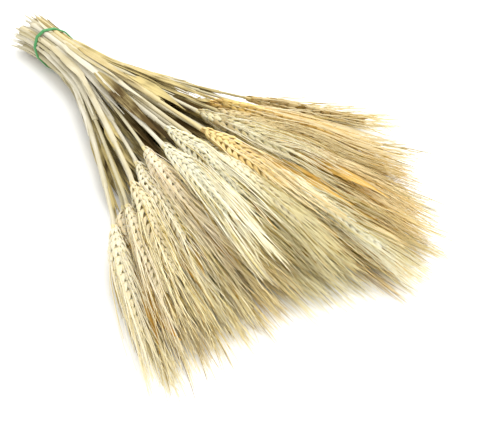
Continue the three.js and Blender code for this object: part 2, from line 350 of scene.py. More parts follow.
# Dry straw, husks, awns and blades share one build-up: pale and deep fibres side by side along
# the growth, a warmer tip, and a tone of its own for each part. The growth attribute holds how
# far along its part a point is, the tone of the part, and how much of its blush shows.
def makeCereal(name, look):
    material = bpy.data.materials.new(name)
    material.use_nodes = True
    tree = material.node_tree
    shader = tree.nodes["Principled BSDF"]
    fibre = addNode(tree, "Attribute", {}, attribute_name="fibre").outputs["Vector"]
    growth = addNode(tree, "Attribute", {}, attribute_name="growth").outputs["Vector"]
    part = addNode(tree, "SeparateXYZ", {"Vector": growth}).outputs
    streakLow, streakHigh = grain["streakSpan"]
    patchLow, patchHigh = grain["patchSpan"]
    glossLow, glossHigh = grain["glossSpan"]
    fine = 1 / look["streakWidth"]
    along = (1 / look["streakLength"], fine, fine)
    streakPlace = addNode(tree, "Mapping", {"Vector": fibre, "Scale": along}).outputs[0]
    streak = addNode(
        tree, "TexNoise", {"Vector": streakPlace, "Scale": 1, "Detail": 3, "Roughness": 0.6}
    ).outputs["Fac"]
    patch = addNode(
        tree, "TexNoise", {"Vector": fibre, "Scale": 1 / look["patchSize"], "Detail": 2}
    ).outputs["Fac"]
    streakShare = addNode(
        tree, "MapRange", {0: streak, 1: streakLow, 2: streakHigh, 3: 0, 4: look["streakAmount"]}
    ).outputs[0]
    patchShare = addNode(
        tree, "MapRange", {0: patch, 1: patchLow, 2: patchHigh, 3: 0, 4: look["patchAmount"]}
    ).outputs[0]
    fibres = addNode(tree, "Math", {0: streakShare, 1: patchShare}, operation="ADD").outputs[0]
    deepness = addNode(
        tree,
        "Math",
        {0: part["Y"], 1: look["toneAmount"], 2: fibres},
        operation="MULTIPLY_ADD",
        use_clamp=True,
    ).outputs[0]
    pale, deep, foot, tip, blush, brown = (
        toLinear(look[key]) for key in ("pale", "deep", "foot", "tip", "blush", "brown")
    )
    fibred = addNode(tree, "Mix", {0: deepness, 6: pale, 7: deep}, data_type="RGBA").outputs[2]
    tipShare = addNode(
        tree, "MapRange", {0: part["X"], 1: look["tipFrom"], 2: 1, 3: 0, 4: look["tipAmount"]}
    ).outputs[0]
    tipped = addNode(tree, "Mix", {0: tipShare, 6: fibred, 7: tip}, data_type="RGBA").outputs[2]
    # the foot colour: on the husks and the ear's core it is painted shade in the gaps between husks
    footShare = addNode(
        tree, "MapRange", {0: part["X"], 1: look["footTo"], 2: 0, 3: 0, 4: look["footAmount"]}
    ).outputs[0]
    rooted = addNode(tree, "Mix", {0: footShare, 6: tipped, 7: foot}, data_type="RGBA").outputs[2]
    blushed = addNode(
        tree, "Mix", {0: part["Z"], 6: rooted, 7: blush}, data_type="RGBA", blend_type="MULTIPLY"
    ).outputs[2]
    brownShare = addNode(
        tree, "MapRange", {0: part["Y"], 1: look["brownFrom"], 2: look["brownAt"], 3: 0, 4: 1}
    ).outputs[0]
    browned = addNode(
        tree, "Mix", {0: brownShare, 6: blushed, 7: brown}, data_type="RGBA"
    ).outputs[2]
    dull, waxy = look["roughness"] + grain["dull"], look["roughness"] - grain["waxy"]
    gloss = addNode(
        tree, "MapRange", {0: streak, 1: glossLow, 2: glossHigh, 3: waxy, 4: dull}
    ).outputs[0]
    bump = addNode(
        tree, "Bump", {"Strength": look["bump"], "Distance": grain["depth"] / 1000, "Height": streak}
    ).outputs[0]
    tree.links.new(browned, shader.inputs["Base Color"])
    tree.links.new(gloss, shader.inputs["Roughness"])
    tree.links.new(bump, shader.inputs["Normal"])
    shader.inputs["IOR"].default_value = grain["ior"]
    shader.inputs["Specular IOR Level"].default_value = look["specular"]
    shader.inputs["Subsurface Weight"].default_value = look["glow"]
    shader.inputs["Subsurface Radius"].default_value = grain["glowColour"]
    shader.inputs["Subsurface Scale"].default_value = look["glowDepth"] / 1000
    return material


# Straw: a waxy tube with long parallel fibres, so it shines in thin lines along its length. Its
# blush is the brown of its knots and cut ends, and painted shade deep in its hollow end.
strawLook = {
    "streakWidth": 0.7,
    "streakLength": 30,
    "streakAmount": 0.55,
    "patchSize": 26,
    "patchAmount": 0.35,
    "toneAmount": 0.6,
    "footTo": 0.1,
    "footAmount": 0.2,
    "tipFrom": 0.8,
    "tipAmount": 0.25,
    "roughness": 0.48,
    "bump": 0.4,
    "specular": 0.18,
    "glow": 0.0,
    "glowDepth": 1.0,
}
# Chaff: thin papery husks, matt, pale at the tip and tan at the foot, where they hold each
# other: that tan is painted shade in the gaps between them. They let some light through,
# which keeps those gaps warm too.
chaffLook = {
    "streakWidth": 0.8,
    "streakLength": 7,
    "streakAmount": 0.3,
    "patchSize": 14,
    "patchAmount": 0.2,
    "toneAmount": 0.25,
    "footTo": 0.4,
    "footAmount": 0.75,
    "tipFrom": 0.7,
    "tipAmount": 0.35,
    "roughness": 0.62,
    "bump": 0.3,
    "specular": 0.15,
    "glow": 0.5,
    "glowDepth": 2.0,
}
# Awns: stiff bristles. They show as thin lines, so their pattern is only light and dark lengths.
awnLook = {
    "streakWidth": 3,
    "streakLength": 30,
    "streakAmount": 0.15,
    "patchSize": 24,
    "patchAmount": 0.12,
    "toneAmount": 0.8,
    "footTo": 0.1,
    "footAmount": 0.0,
    "tipFrom": 0.45,
    "tipAmount": 0.5,
    "roughness": 0.5,
    "bump": 0.1,
    "specular": 0.15,
    "glow": 0.0,
    "glowDepth": 1.0,
}
# Leaf blades: dry, ribbed and dull, browner than the straw they hang on. Their deep colour is
# also painted shade, on the blades inside the bunch.
bladeLook = {
    "streakWidth": 0.9,
    "streakLength": 40,
    "streakAmount": 0.7,
    "patchSize": 22,
    "patchAmount": 0.6,
    "toneAmount": 0.5,
    "footTo": 0.3,
    "footAmount": 0.5,
    "tipFrom": 0.5,
    "tipAmount": 0.4,
    "roughness": 0.6,
    "bump": 0.6,
    "specular": 0.15,
    "glow": 0.0,
    "glowDepth": 1.0,
    "pale": "#CDBB80",
    "deep": "#4E3C1A",
    "foot": "#CBB97E",
    "tip": "#5E4A22",
    "blush": "#C9A36A",
}
# Golden blades: sheets under the top ears and awns whose colour is painted golden shade, with
# warm light through it, so they show as warm patches among the pale awns.
goldenLook = {
    "pale": "#DCB664",
    "deep": "#B0802C",
    "foot": "#CEA450",
    "tip": "#D4AC58",
}
# What stayed brown, or went brown again: the parts whose tone is that deep.
weathered = {
    "brown": "#7E6028",
    "brownFrom": 1.6,
    "brownAt": 2.6,
}
# Each chaff foot colour is painted shade, shown in the gaps between the husks and on the ear's core.
cerealColours = {
    "cream": {
        "straw": {
            "pale": "#D2CCBA", "deep": "#B6AC88", "foot": "#C2B684", "tip": "#D6D0B0", "blush": "#C6AC7C",
        },
        "chaff": {
            "pale": "#DFDCC6", "deep": "#CEBE86", "foot": "#C8B674", "tip": "#E4E2CE", "blush": "#FBE4CE",
        },
        "awn": {
            "pale": "#F7F5E4", "deep": "#D2BC58", "foot": "#F7F5E4", "tip": "#E0D6A2", "blush": "#FBE8D8",
        },
    },
    "wheat": {
        "straw": {
            "pale": "#D0C8AE", "deep": "#AE9F70", "foot": "#B09C60", "tip": "#CCC094", "blush": "#B4924E",
        },
        "chaff": {
            "pale": "#DCD5B8", "deep": "#CAB276", "foot": "#BAA058", "tip": "#DAD2AA", "blush": "#F8DDB8",
        },
        "awn": {
            "pale": "#F8F4D6", "deep": "#CAB04C", "foot": "#F8F4D6", "tip": "#DACA8C", "blush": "#F8DDB8",
        },
    },
    "gold": {
        "straw": {
            "pale": "#D0C090", "deep": "#A28C50", "foot": "#9C8448", "tip": "#C4AC72", "blush": "#A07A38",
        },
        "chaff": {
            "pale": "#E6CE92", "deep": "#CCA756", "foot": "#A0762A", "tip": "#D0AC60", "blush": "#F6D4A8",
        },
        "awn": {
            "pale": "#FAF0CC", "deep": "#D2AA50", "foot": "#FAF0CC", "tip": "#E2C884", "blush": "#F6D4A8",
        },
    },
}
# dry leaf blades, whose deep colour also paints the shade inside the bunch
dryLeafAndShadeBlade = makeCereal("dry_leaf_and_shade_blade", bladeLook | weathered)
# golden blades: painted golden shade under the top ears and awns
goldenShadeBlade = makeCereal("golden_shade_blade", bladeLook | goldenLook | weathered)
cerealMaterials = {}
for colour, parts in cerealColours.items():
    cerealMaterials[colour] = [
        makeCereal(f"{colour}_dry_straw", strawLook | parts["straw"] | weathered),
        makeCereal(f"{colour}_papery_chaff", chaffLook | parts["chaff"] | weathered),
        makeCereal(f"{colour}_bristle_awn", awnLook | parts["awn"] | weathered),
        dryLeafAndShadeBlade,
        goldenShadeBlade,
    ]
strawFace, chaffFace, awnFace, bladeFace, goldenFace = range(5)  # material places on a stalk
print("straw, chaff, awn and leaf materials made")

straw = {
    "sides": 10,
    "wall": 0.5,
    "hollowDepth": 9,
    "hollowEnd": 0.9,  # of the inner radius
    "rimWidth": 0.2,
    "rimWear": 0.1,
    "cutSlant": 0.5,
    # the blush deepens into the hollow: brown of the cut end, and painted shade inside it
    "cutBlushAndHollowShade": (0.9, 0.5, 0.2),  # deep in the hollow, at its mouth and on the rim
    "looseness": (0.12, 0.6),  # of the sheath, in the band and away from it
    "looseFrom": 8,
    "looseOver": 50,
    "flatness": 0.2,  # a sheathed straw is that much wider than round, and as much thinner
    "bulge": 0.04,  # and not quite even, round a turn that follows its length
    "bulgeTurn": 0.05,
    "neck": 4,  # the straw ends this far under the ear
    "bareNeck": 14,  # and its sheath at least this far under that
    "bareRadius": 1.5,
    "sheathWall": 0.2,
    "ringsFrom": 4,
    "ringStep": 9,
    "leastStep": 0.7,
    "knotAt": (20, 110),
    "knotLength": 4,
    "knotRings": (-3, -1.5, 0, 1.5, 3),
    "knotSwell": 0.12,
    "knotBlush": 0.25,
    "collarPastKnot": (90, 160),
    "collarRings": (-0.5, 0.4),
    "collarLean": 0.8,
    "lap": 0.16,  # the sheath's edge stands proud where it laps over itself
    "lapPastKnot": 2,
    "lapPastBand": 16,
    "lapAngles": (0.3, 1.0, 1.7),  # proud between the first two, sunk between the last two
    "coreRadius": 5.5,  # of the ear's core, if it were full at its foot, and at its end
    "coreEnd": 3.3,
    "coreFoot": 0.35,  # of the radius, which is full at the share of the ear that follows
    "coreFullAt": 0.28,
    "coreFlatness": 0.2,  # the core is wider too, to fill the ear between its rows of husks
    "coreRings": 14,
    # the core's foot colour is painted shade between the rows of husks
    "coreShare": 0.12,  # it is coloured as the foot of a husk
    "zigzag": 0.35,
    "tone": (-0.7, 1),
    "farColumn": 3,  # from this column on the straws are less bleached
    "farTone": 1.2,
}


# The rings of a straw, from inside its hollow end, over the rim and along the sheath to the
# neck, and through the ear. Each has its place, radius, lap, slant, zigzag, share and blush.
def strawRings(stalk, dice):
    mouth, neck = -stalk["cutEnd"], stalk["earStart"] - straw["neck"]
    knotAt = dice.uniform(*straw["knotAt"])
    collarAt = min(knotAt + dice.uniform(*straw["collarPastKnot"]), neck - straw["bareNeck"])
    slant = dice.uniform(-straw["cutSlant"], straw["cutSlant"])
    inner = bunch["strawRadius"] - straw["wall"]
    tight, loose = straw["looseness"]
    hollowShadeBlush, mouthBlush, rimBlush = straw["cutBlushAndHollowShade"]
    rings = [
        # painted shade deep in the hollow
        (mouth + straw["hollowDepth"], inner * straw["hollowEnd"], 0, 0, 0, 0, hollowShadeBlush),
        (mouth + straw["rimWidth"], inner, 0, slant, 0, 0, mouthBlush),
        (mouth, bunch["strawRadius"] - straw["rimWear"], 0, slant, 0, 0, rimBlush),
    ]
    stations = list(np.arange(mouth + straw["ringsFrom"], neck, straw["ringStep"]))
    stations += [knotAt + step for step in straw["knotRings"]]
    stations += [collarAt + step for step in straw["collarRings"]]
    last = mouth
    for at in sorted(stations):
        if at - last < straw["leastStep"]:
            continue
        last = at
        grown = float(smooth(at / stalk["earStart"]))
        loosened = float(smooth((abs(at) - straw["looseFrom"]) / straw["looseOver"]))
        sheathed = bunch["strawRadius"] + (bunch["strawTopRadius"] - bunch["strawRadius"]) * grown
        sheathed += tight + (loose - tight) * loosened
        bare = min(sheathed - straw["sheathWall"], straw["bareRadius"])
        radius = sheathed if at <= collarAt else bare
        knot = math.exp(-(((at - knotAt) / (straw["knotLength"] / 2)) ** 2))
        lapFrom = max(knotAt + straw["lapPastKnot"], straw["lapPastBand"])
        lap = straw["lap"] if lapFrom < at < collarAt else 0
        atCollar = abs(at - collarAt) < 1
        lean = straw["collarLean"] * math.cos(stalk["across"]) if atCollar else 0
        share = max(0, (at - mouth) / (neck - mouth))
        swollen = radius + straw["knotSwell"] * knot
        rings.append((at, swollen, lap, lean, 0, share, straw["knotBlush"] * knot))
    for i in range(straw["coreRings"] + 1):
        share = i / straw["coreRings"]
        full = float(smooth(share / straw["coreFullAt"]))
        size = straw["coreRadius"] + (straw["coreEnd"] - straw["coreRadius"]) * share
        size *= straw["coreFoot"] + (1 - straw["coreFoot"]) * full
        side = straw["zigzag"] * (1 if i % 2 else -1)
        at = neck + straw["neck"] / 2 + share * stalk["earLength"]
        rings.append((at, size, 0, 0, side, straw["coreShare"], 0))
    return rings, neck


def growStraw(bm, growthLayer, stalk, dice):
    tone = dice.uniform(*straw["tone"]) + straw["farTone"] * (stalk["column"] >= straw["farColumn"])
    lapStart, lapMiddle, lapEnd = straw["lapAngles"]
    rings, neck = strawRings(stalk, dice)
    lying = Matrix.Rotation(math.radians(90), 4, "Y")
    bmesh.ops.create_circle(bm, cap_ends=True, segments=straw["sides"], radius=1, matrix=lying)
    loops, edges = [bm.verts[:]], bm.edges[:]
    for _ in rings[1:]:
        made = bmesh.ops.extrude_edge_only(bm, edges=edges)["geom"]
        fresh = {g for g in made if isinstance(g, bmesh.types.BMVert)}
        edges = [g for g in made if isinstance(g, bmesh.types.BMEdge) and fresh.issuperset(g.verts)]
        loops.append(fresh)
    bmesh.ops.contextual_create(bm, geom=edges)
    for loop, (x, radius, lap, slant, zigzag, share, blush) in zip(loops, rings):
        flat = straw["flatness"] if x < neck else straw["coreFlatness"]
        for vert in loop:
            angle = math.atan2(vert.co.y, vert.co.z)
            edge = lap if lapStart < angle < lapMiddle else 0
            if lapMiddle <= angle < lapEnd:
                edge = -lap / 2
            bulge = straw["bulge"] * math.sin(2 * angle + x * straw["bulgeTurn"])
            size = radius * (1 + bulge) + edge
            along = x + slant * math.cos(angle) * radius
            across = size * math.sin(angle) * (1 + flat) + zigzag
            vert.co = (along, across, size * math.cos(angle) * (1 - flat))
            vert[growthLayer] = (share, tone, blush)
    for face in bm.faces:
        face.material_index = strawFace if face.calc_center_median().x < neck else chaffFace


# Dry leaf that stayed on the straws. Each piece is a flat ribbon that lies along its straw,
# drifts off it and curls at the edge. Flat sheaths close the gaps of the bunch near the band,
# and torn ends stick out behind it. Blades fill its inside, where their dark brown is dry leaf
# and painted shade of the deep bunch, and its sides, where they are paler. Golden blades of
# painted golden shade lie on the ears and awns under the top ones.
# A foot is measured from the band, or on an ear from its start. No piece reaches further past
# the start of the ear, or on an ear past the tip of its awns, than its own limit.
leafKinds = {
    "sheath": {
        "face": strawFace,
        "onEar": False,
        "foot": (3, 44),
        "length": (60, 130),
        "past": 30,
        "halfWidth": (3.0, 4.8),
        "clear": 2.35,
        "lift": (0.2, 1.6),
        "drift": 3,
        "driftsIn": False,
        "twist": 0.25,
        "curl": -0.22,
        "tone": (-0.5, 0.8),
    },
    "tornEnd": {
        "face": strawFace,
        "onEar": False,
        "foot": (-6, -5),
        "length": (-50, -30),
        "past": 30,
        "halfWidth": (1.6, 3.2),
        "clear": 2.2,
        "lift": (-0.5, 2.5),
        "drift": 2.5,
        "driftsIn": False,
        "twist": 0.5,
        "curl": -0.2,
        "tone": (-1, 1),
    },
    # inner blades: dark in tone, dry leaf and painted shade inside the bunch
    "innerShadeBlade": {
        "face": bladeFace,
        "onEar": False,
        "foot": (75, 150),
        "length": (80, 150),
        "past": 30,
        "halfWidth": (3.0, 6.5),
        "clear": 2.3,
        "lift": (-1.5, 3.5),
        "drift": 11,
        "driftsIn": False,
        "twist": 0.7,
        "curl": 0.3,
        "tone": (0.4, 1.6),
    },
    "outerBlade": {
        "face": bladeFace,
        "onEar": False,
        "foot": (20, 190),
        "length": (70, 130),
        "past": -12,
        "halfWidth": (1.8, 3.6),
        "clear": 2.3,
        "lift": (-1.5, 2.0),
        "drift": 14,
        "driftsIn": True,
        "twist": 0.7,
        "curl": 0.3,
        "tone": (-1.2, 0.0),
    },
    "farBlade": {
        "face": bladeFace,
        "onEar": False,
        "foot": (20, 110),
        "length": (80, 140),
        "past": -10,
        "halfWidth": (2.8, 5.0),
        "clear": 2.3,
        "lift": (-1.5, 1.0),
        "drift": 12,
        "driftsIn": True,
        "twist": 0.4,
        "curl": 0.2,
        "tone": (-1.0, 0.1),
    },
    # golden blades: painted golden shade with warm light through it, under the top ears and awns
    "goldenShadeBlade": {
        "face": goldenFace,
        "onEar": True,
        "foot": (35, 95),
        "length": (50, 90),
        "past": -45,
        "halfWidth": (2.6, 4.6),
        "clear": 6.5,
        "lift": (0, 8),
        "drift": 7,
        "driftsIn": False,
        "twist": 0.5,
        "curl": 0.3,
        "tone": (-0.8, 0.8),
    },
}
leafRule = {
    "thickness": 0.25,
    "pieces": 8,
    "footWidth": 0.45,  # of the full width, which it soon reaches
    "widening": 4,
    "narrowFrom": 0.35,  # of the length
    "narrowing": 0.93,  # of the width, until the tip
    "outerColumn": 4,  # from this column on the blades are narrow and pale
    "innerBlades": 3,
    "outerBlades": 10,
    "topShare": 0.15,  # of the inner top stalks have a blade
    "bladeSwing": 0.5,  # radians round the straw, from straight up or down
    "farBlades": 4,
    "goldenBlades": 3,
    "goldenSwing": 0.6,
    "sheaths": 3,
    "farSide": 0.3,  # how far round to the far side a sheath may lie
    "nearSide": math.radians(100),  # and to the near side
    "topNearSide": 0.4,  # on a top stalk
    "tornEnds": 3,
}


def growLeaf(bm, growthLayer, stalk, dice, kindName, azimuth):
    kind = leafKinds[kindName]
    foot = dice.uniform(*kind["foot"]) + (stalk["earStart"] if kind["onEar"] else 0)
    end = stalk["tip" if kind["onEar"] else "earStart"] + kind["past"]
    length = min(dice.uniform(*kind["length"]), end - foot)
    halfWidth = dice.uniform(*kind["halfWidth"])
    lift, drift = dice.uniform(*kind["lift"]), dice.uniform(-1, 1) * kind["drift"]
    if kind["driftsIn"]:
        drift = math.copysign(drift, stalk["column"] * math.sin(azimuth))
    side = azimuth - stalk["roll"]
    twist = dice.uniform(-1, 1) * kind["twist"]
    out = Vector((0, math.cos(side), math.sin(side)))
    around = Vector((0, -out.z, out.y))
    blade = bmesh.new()
    bmesh.ops.create_grid(blade, x_segments=leafRule["pieces"], y_segments=2, size=1)
    for vert in blade.verts:
        u, v = (vert.co.x + 1) / 2, vert.co.y
        narrowed = float(smooth((u - leafRule["narrowFrom"]) / (1 - leafRule["narrowFrom"])))
        width = halfWidth * min(1, leafRule["footWidth"] + leafRule["widening"] * u)
        width *= 1 - leafRule["narrowing"] * narrowed
        turn = twist * u
        flat = around * math.cos(turn) + out * math.sin(turn)
        rise = out * math.cos(turn) - around * math.sin(turn)
        middle = Vector((foot + u * length, 0, 0)) + around * drift * u * u
        middle += out * (kind["clear"] + lift * u * u)
        vert.co = middle + flat * v * width + rise * (kind["curl"] * width * v * v)
    bmesh.ops.solidify(blade, geom=blade.faces[:], thickness=leafRule["thickness"])
    for face in blade.faces:
        face.material_index = kind["face"]
    mesh = bpy.data.meshes.new("one_blade")
    blade.to_mesh(mesh)
    blade.free()
    tone = dice.uniform(*kind["tone"])
    for vert in addCopy(bm, mesh):
        vert[growthLayer] = ((vert.co.x - foot) / length, tone, 0)
    bpy.data.meshes.remove(mesh)


def growLeaves(bm, growthLayer, stalk, dice):
    up, onTop = math.pi / 2, stalk["onTop"]
    swing, goldenSwing = leafRule["bladeSwing"], leafRule["goldenSwing"]
    outer = abs(stalk["column"]) >= leafRule["outerColumn"]
    blades = leafRule["outerBlades"] if outer else leafRule["innerBlades"]
    if onTop:
        blades = int(dice.random() < leafRule["topShare"] and not outer)
    for _ in range(blades):
        azimuth = up * dice.choice((-1, 1)) + dice.uniform(-swing, swing)
        growLeaf(bm, growthLayer, stalk, dice, "outerBlade" if outer else "innerShadeBlade", azimuth)
    for _ in range(leafRule["farBlades"] if stalk["column"] >= straw["farColumn"] else 0):
        azimuth = up + dice.uniform(-swing, swing)
        growLeaf(bm, growthLayer, stalk, dice, "farBlade", azimuth)
    nearSide = leafRule["topNearSide" if onTop else "nearSide"]
    for _ in range(leafRule["sheaths"]):
        azimuth = up + dice.uniform(-leafRule["farSide"], nearSide)
        growLeaf(bm, growthLayer, stalk, dice, "sheath", azimuth)
    # golden sheets of painted shade under the top layer of ears and awns
    for _ in range(0 if onTop else leafRule["goldenBlades"]):
        azimuth = up + dice.uniform(-goldenSwing, goldenSwing)
        growLeaf(bm, growthLayer, stalk, dice, "goldenShadeBlade", azimuth)
    for _ in range(leafRule["tornEnds"]):
        azimuth = dice.uniform(0, 2 * math.pi)
        growLeaf(bm, growthLayer, stalk, dice, "tornEnd", azimuth)


husk = {
    "sides": 6,
    "rings": 5,
    "foot": 1.22,  # how wide it is at its foot, and how much it narrows to its tip
    "taper": 0.75,
    "back": 1.2,  # how far its back bulges, and how far its inner side
    "face": 0.55,
    "keel": 0.12,
    "keelWidth": 0.1,
    "belly": 0.25,
}
ear = {
    "spikeletStep": 4.25,
    "start": -2,  # of the lowest husks, from where the ear starts
    "shorter": 4,  # the row of husks is that much shorter than the ear
    "foot": 3.0,  # distance of a husk's foot from the ear's axis
    "footWidth": 0.45,  # of the ear's full width
    "fullAt": 0.28,  # of its length, and it narrows again from the next one on
    "narrowFrom": 0.3,
    "narrowing": 0.46,
    "leanKept": 0.6,  # of a husk's lean, length and width, however narrow the ear is there
    "lengthKept": 0.72,
    "widthKept": 0.3,
    "longer": (0.94, 1.06),
    "turnJitter": 5,  # degrees
    "tiltJitter": 2,
    "tone": (-0.3, 0.5),
    "huskTone": (-0.5, 0.5),
    "farTone": 1.4,  # the far ears are less bleached, as their straws are
    "awnRoot": (0.93, 0.12, 0),  # on a husk that is 1 long, 1 wide and 1 thick
    # azimuth in degrees, start along the ear, length, width, thickness, lean in degrees,
    # and the length of its awn against the ear's longest
    "husks": [
        (66, 0.0, 12.0, 6.6, 3.2, 12, 0.8),
        (-66, 0.0, 12.0, 6.6, 3.2, 12, 0.8),
        (30, 1.2, 15.0, 6.6, 4.0, 22, 1.0),
        (-30, 1.2, 15.0, 6.6, 4.0, 22, 1.0),
        (0, 3.4, 12.0, 5.2, 3.8, 22, 0.9),
    ],
}
# A real awn is about 0.5 mm thick at its root and 0.1 mm at its tip, too fine to show here. These
# are drawn coarser, so that each one still shows as a pale line.
awn = {
    "radius": (0.3, 0.52),
    "topThicker": 1.25,  # on the top stalks
    "rootShare": 0.4,  # of the radius, over the ear
    "tipShare": 0.35,  # of the radius, left at the tip
    "pieces": 6,
    "fullAt": 0.45,  # of the length, where it has its full radius
    "length": (0.92, 0.38),  # at the ends of the ear, and how much longer at its middle
    "longer": (0.85, 1.1),
    "pastTip": 10,  # of the stalk, at most
    "spread": (0.5, 9.5),  # away from the ear, most of it soon after the root
    "spreadEarly": 1.8,
    "drift": 4.2,
    "wave": 0.35,
    "waveTurn": 5,
    "phase": (0, 6),
    # Shares of awns that are bleached through and that stayed brown, on the top stalks and below
    # them. Below the top stalks fewer are pale, more are brown and the pale ones are deeper in
    # tone: painted shade of the lower layers. The others stay straw yellow.
    "topPale": 0.72,
    "topBrown": 0.08,
    "lowerPale": 0.6,
    "lowerBrown": 0.12,
    "topTone": (0, 0.16),  # of the bleached awns
    "lowerTone": (0.12, 0.42),
    "yellowTone": (0.35, 0.9),
    "brownTone": (2.0, 2.6),
}


# One husk, 1 long, 1 wide and 1 thick: a boat with a keel on its back, which faces +y.
def huskTemplate():
    bm = bmesh.new()
    bmesh.ops.create_uvsphere(
        bm,
        u_segments=husk["sides"],
        v_segments=husk["rings"],
        radius=0.5,
        matrix=Matrix.Rotation(math.radians(90), 4, "Y"),
    )
    for vert in bm.verts:
        share = vert.co.x + 0.5
        taper = husk["foot"] - husk["taper"] * share
        onBack = vert.co.y > 0
        bulge = vert.co.y * husk["back" if onBack else "face"]
        keel = husk["keel"] if onBack and abs(vert.co.z) < husk["keelWidth"] else 0
        belly = husk["belly"] * math.sin(math.pi * share)
        vert.co = (share, (bulge + keel) * taper + belly, vert.co.z * taper)
    bmesh.ops.recalc_face_normals(bm, faces=bm.faces)
    for face in bm.faces:
        face.material_index = chaffFace
    mesh = bpy.data.meshes.new("husk_template")
    bm.to_mesh(mesh)
    bm.free()
    return mesh


# One awn, 1 long and 1 thick at its root: a three-sided bristle, cut into short pieces to bend.
def awnTemplate():
    bm = bmesh.new()
    bmesh.ops.create_cone(
        bm,
        cap_ends=True,
        segments=3,
        radius1=1,
        radius2=awn["tipShare"],
        depth=1,
        matrix=Matrix.Translation((0.5, 0, 0)) @ Matrix.Rotation(math.radians(90), 4, "Y"),
    )
    for i in range(1, awn["pieces"]):
        bmesh.ops.bisect_plane(
            bm,
            geom=bm.verts[:] + bm.edges[:] + bm.faces[:],
            plane_co=(i / awn["pieces"], 0, 0),
            plane_no=(1, 0, 0),
        )
    bmesh.ops.recalc_face_normals(bm, faces=bm.faces)
    for face in bm.faces:
        face.material_index = awnFace
    mesh = bpy.data.meshes.new("awn_template")
    bm.to_mesh(mesh)
    bm.free()
    return mesh


huskMesh, awnMesh = huskTemplate(), awnTemplate()


def addCopy(bm, template):
    first = len(bm.verts)
    bm.from_mesh(template)
    bm.verts.ensure_lookup_table()
    return bm.verts[first:]


def earWidth(share):
    wider = (1 - ear["footWidth"]) * float(smooth(share / ear["fullAt"]))
    past = (share - ear["narrowFrom"]) / (1 - ear["narrowFrom"])
    return ear["footWidth"] + wider - ear["narrowing"] * float(smooth(past))


def growAwn(bm, growthLayer, stalk, root, share, length, blush, dice):
    atEnds, atMiddle = awn["length"]
    length *= stalk["awnLength"] * (atEnds + atMiddle * math.sin(math.pi * share))
    length = min(length * dice.uniform(*awn["longer"]), stalk["tip"] + awn["pastTip"] - root.x)
    radial = math.hypot(root.y, root.z)
    outY, outZ = root.y / radial, root.z / radial
    spread = dice.uniform(*awn["spread"])
    drift = dice.gauss(0, 1) * awn["drift"]
    wave, phase = dice.uniform(-1, 1) * awn["wave"], dice.uniform(*awn["phase"])
    # awns under the top layer get the darker mix: painted shade of the lower layers
    where = "top" if stalk["onTop"] else "lower"
    thick = dice.uniform(*awn["radius"]) * (awn["topThicker"] if stalk["onTop"] else 1)
    chance = dice.random()
    tone = dice.uniform(*awn["yellowTone"])
    if chance < awn[where + "Pale"]:
        tone = dice.uniform(*awn[where + "Tone"])
    if chance > 1 - awn[where + "Brown"]:
        tone = dice.uniform(*awn["brownTone"])
    for vert in addCopy(bm, awnMesh):
        t = vert.co.x
        out = spread * (1 - (1 - t) ** awn["spreadEarly"])
        aside = drift * t * t + wave * math.sin(phase + awn["waveTurn"] * t) * t
        grown = float(smooth(t / awn["fullAt"]))
        full = thick * (awn["rootShare"] + (1 - awn["rootShare"]) * grown)
        vert[growthLayer] = (t, tone, blush)
        vert.co = (
            root.x + t * length,
            root.y + outY * out - outZ * aside + vert.co.y * full,
            root.z + outZ * out + outY * aside + vert.co.z * full,
        )


def growEar(bm, growthLayer, stalk, dice):
    count = round(stalk["earLength"] / ear["spikeletStep"])
    earTone = dice.uniform(*ear["tone"]) + ear["farTone"] * (stalk["column"] >= straw["farColumn"])
    turnJitter, tiltJitter, blush = ear["turnJitter"], ear["tiltJitter"], stalk["blush"]
    for i in range(count):
        share = i / (count - 1)
        at = stalk["earStart"] + ear["start"] + share * (stalk["earLength"] - ear["shorter"])
        width = earWidth(share)
        leanShare, lengthShare, widthShare = (
            ear[kept] + (1 - ear[kept]) * width for kept in ("leanKept", "lengthKept", "widthKept")
        )
        side = 180 * (i % 2)
        for azimuth, ahead, length, wide, thick, lean, awnLength in ear["husks"]:
            tone = earTone + dice.uniform(*ear["huskTone"])
            turn = math.radians(azimuth + side + dice.uniform(-turnJitter, turnJitter))
            tilt = math.radians(lean * leanShare + dice.uniform(-tiltJitter, tiltJitter))
            longer = lengthShare * dice.uniform(*ear["longer"])
            place = (
                Matrix.Translation((at + ahead, 0, 0))
                @ Matrix.Rotation(turn, 4, "X")
                @ Matrix.Translation((0, ear["foot"] * width, 0))
                @ Matrix.Rotation(tilt, 4, "Z")
                @ Matrix.Diagonal((length * longer, thick * width, wide * widthShare, 1))
            )
            for vert in addCopy(bm, huskMesh):
                vert[growthLayer] = (vert.co.x, tone, blush)
                vert.co = place @ vert.co
            root = place @ Vector(ear["awnRoot"])
            growAwn(bm, growthLayer, stalk, root, share, awnLength, blush, dice)


stalkRule = {
    "seed": 7100,
    # how much of the warm pink the ears and awns of a column have
    "blush": {-7: 0.3, -6: 0.5, -5: 0.15, -4: 0.25, -3: 0.45, 4: 0.2, 6: 0.3, 7: 0.35},
    "blushVaries": (0.5, 1.1),
    "sharpEdge": math.radians(60),
    "slots": {"cream": "cream_straw", "wheat": "wheat_straw", "gold": "golden_straw"},
}


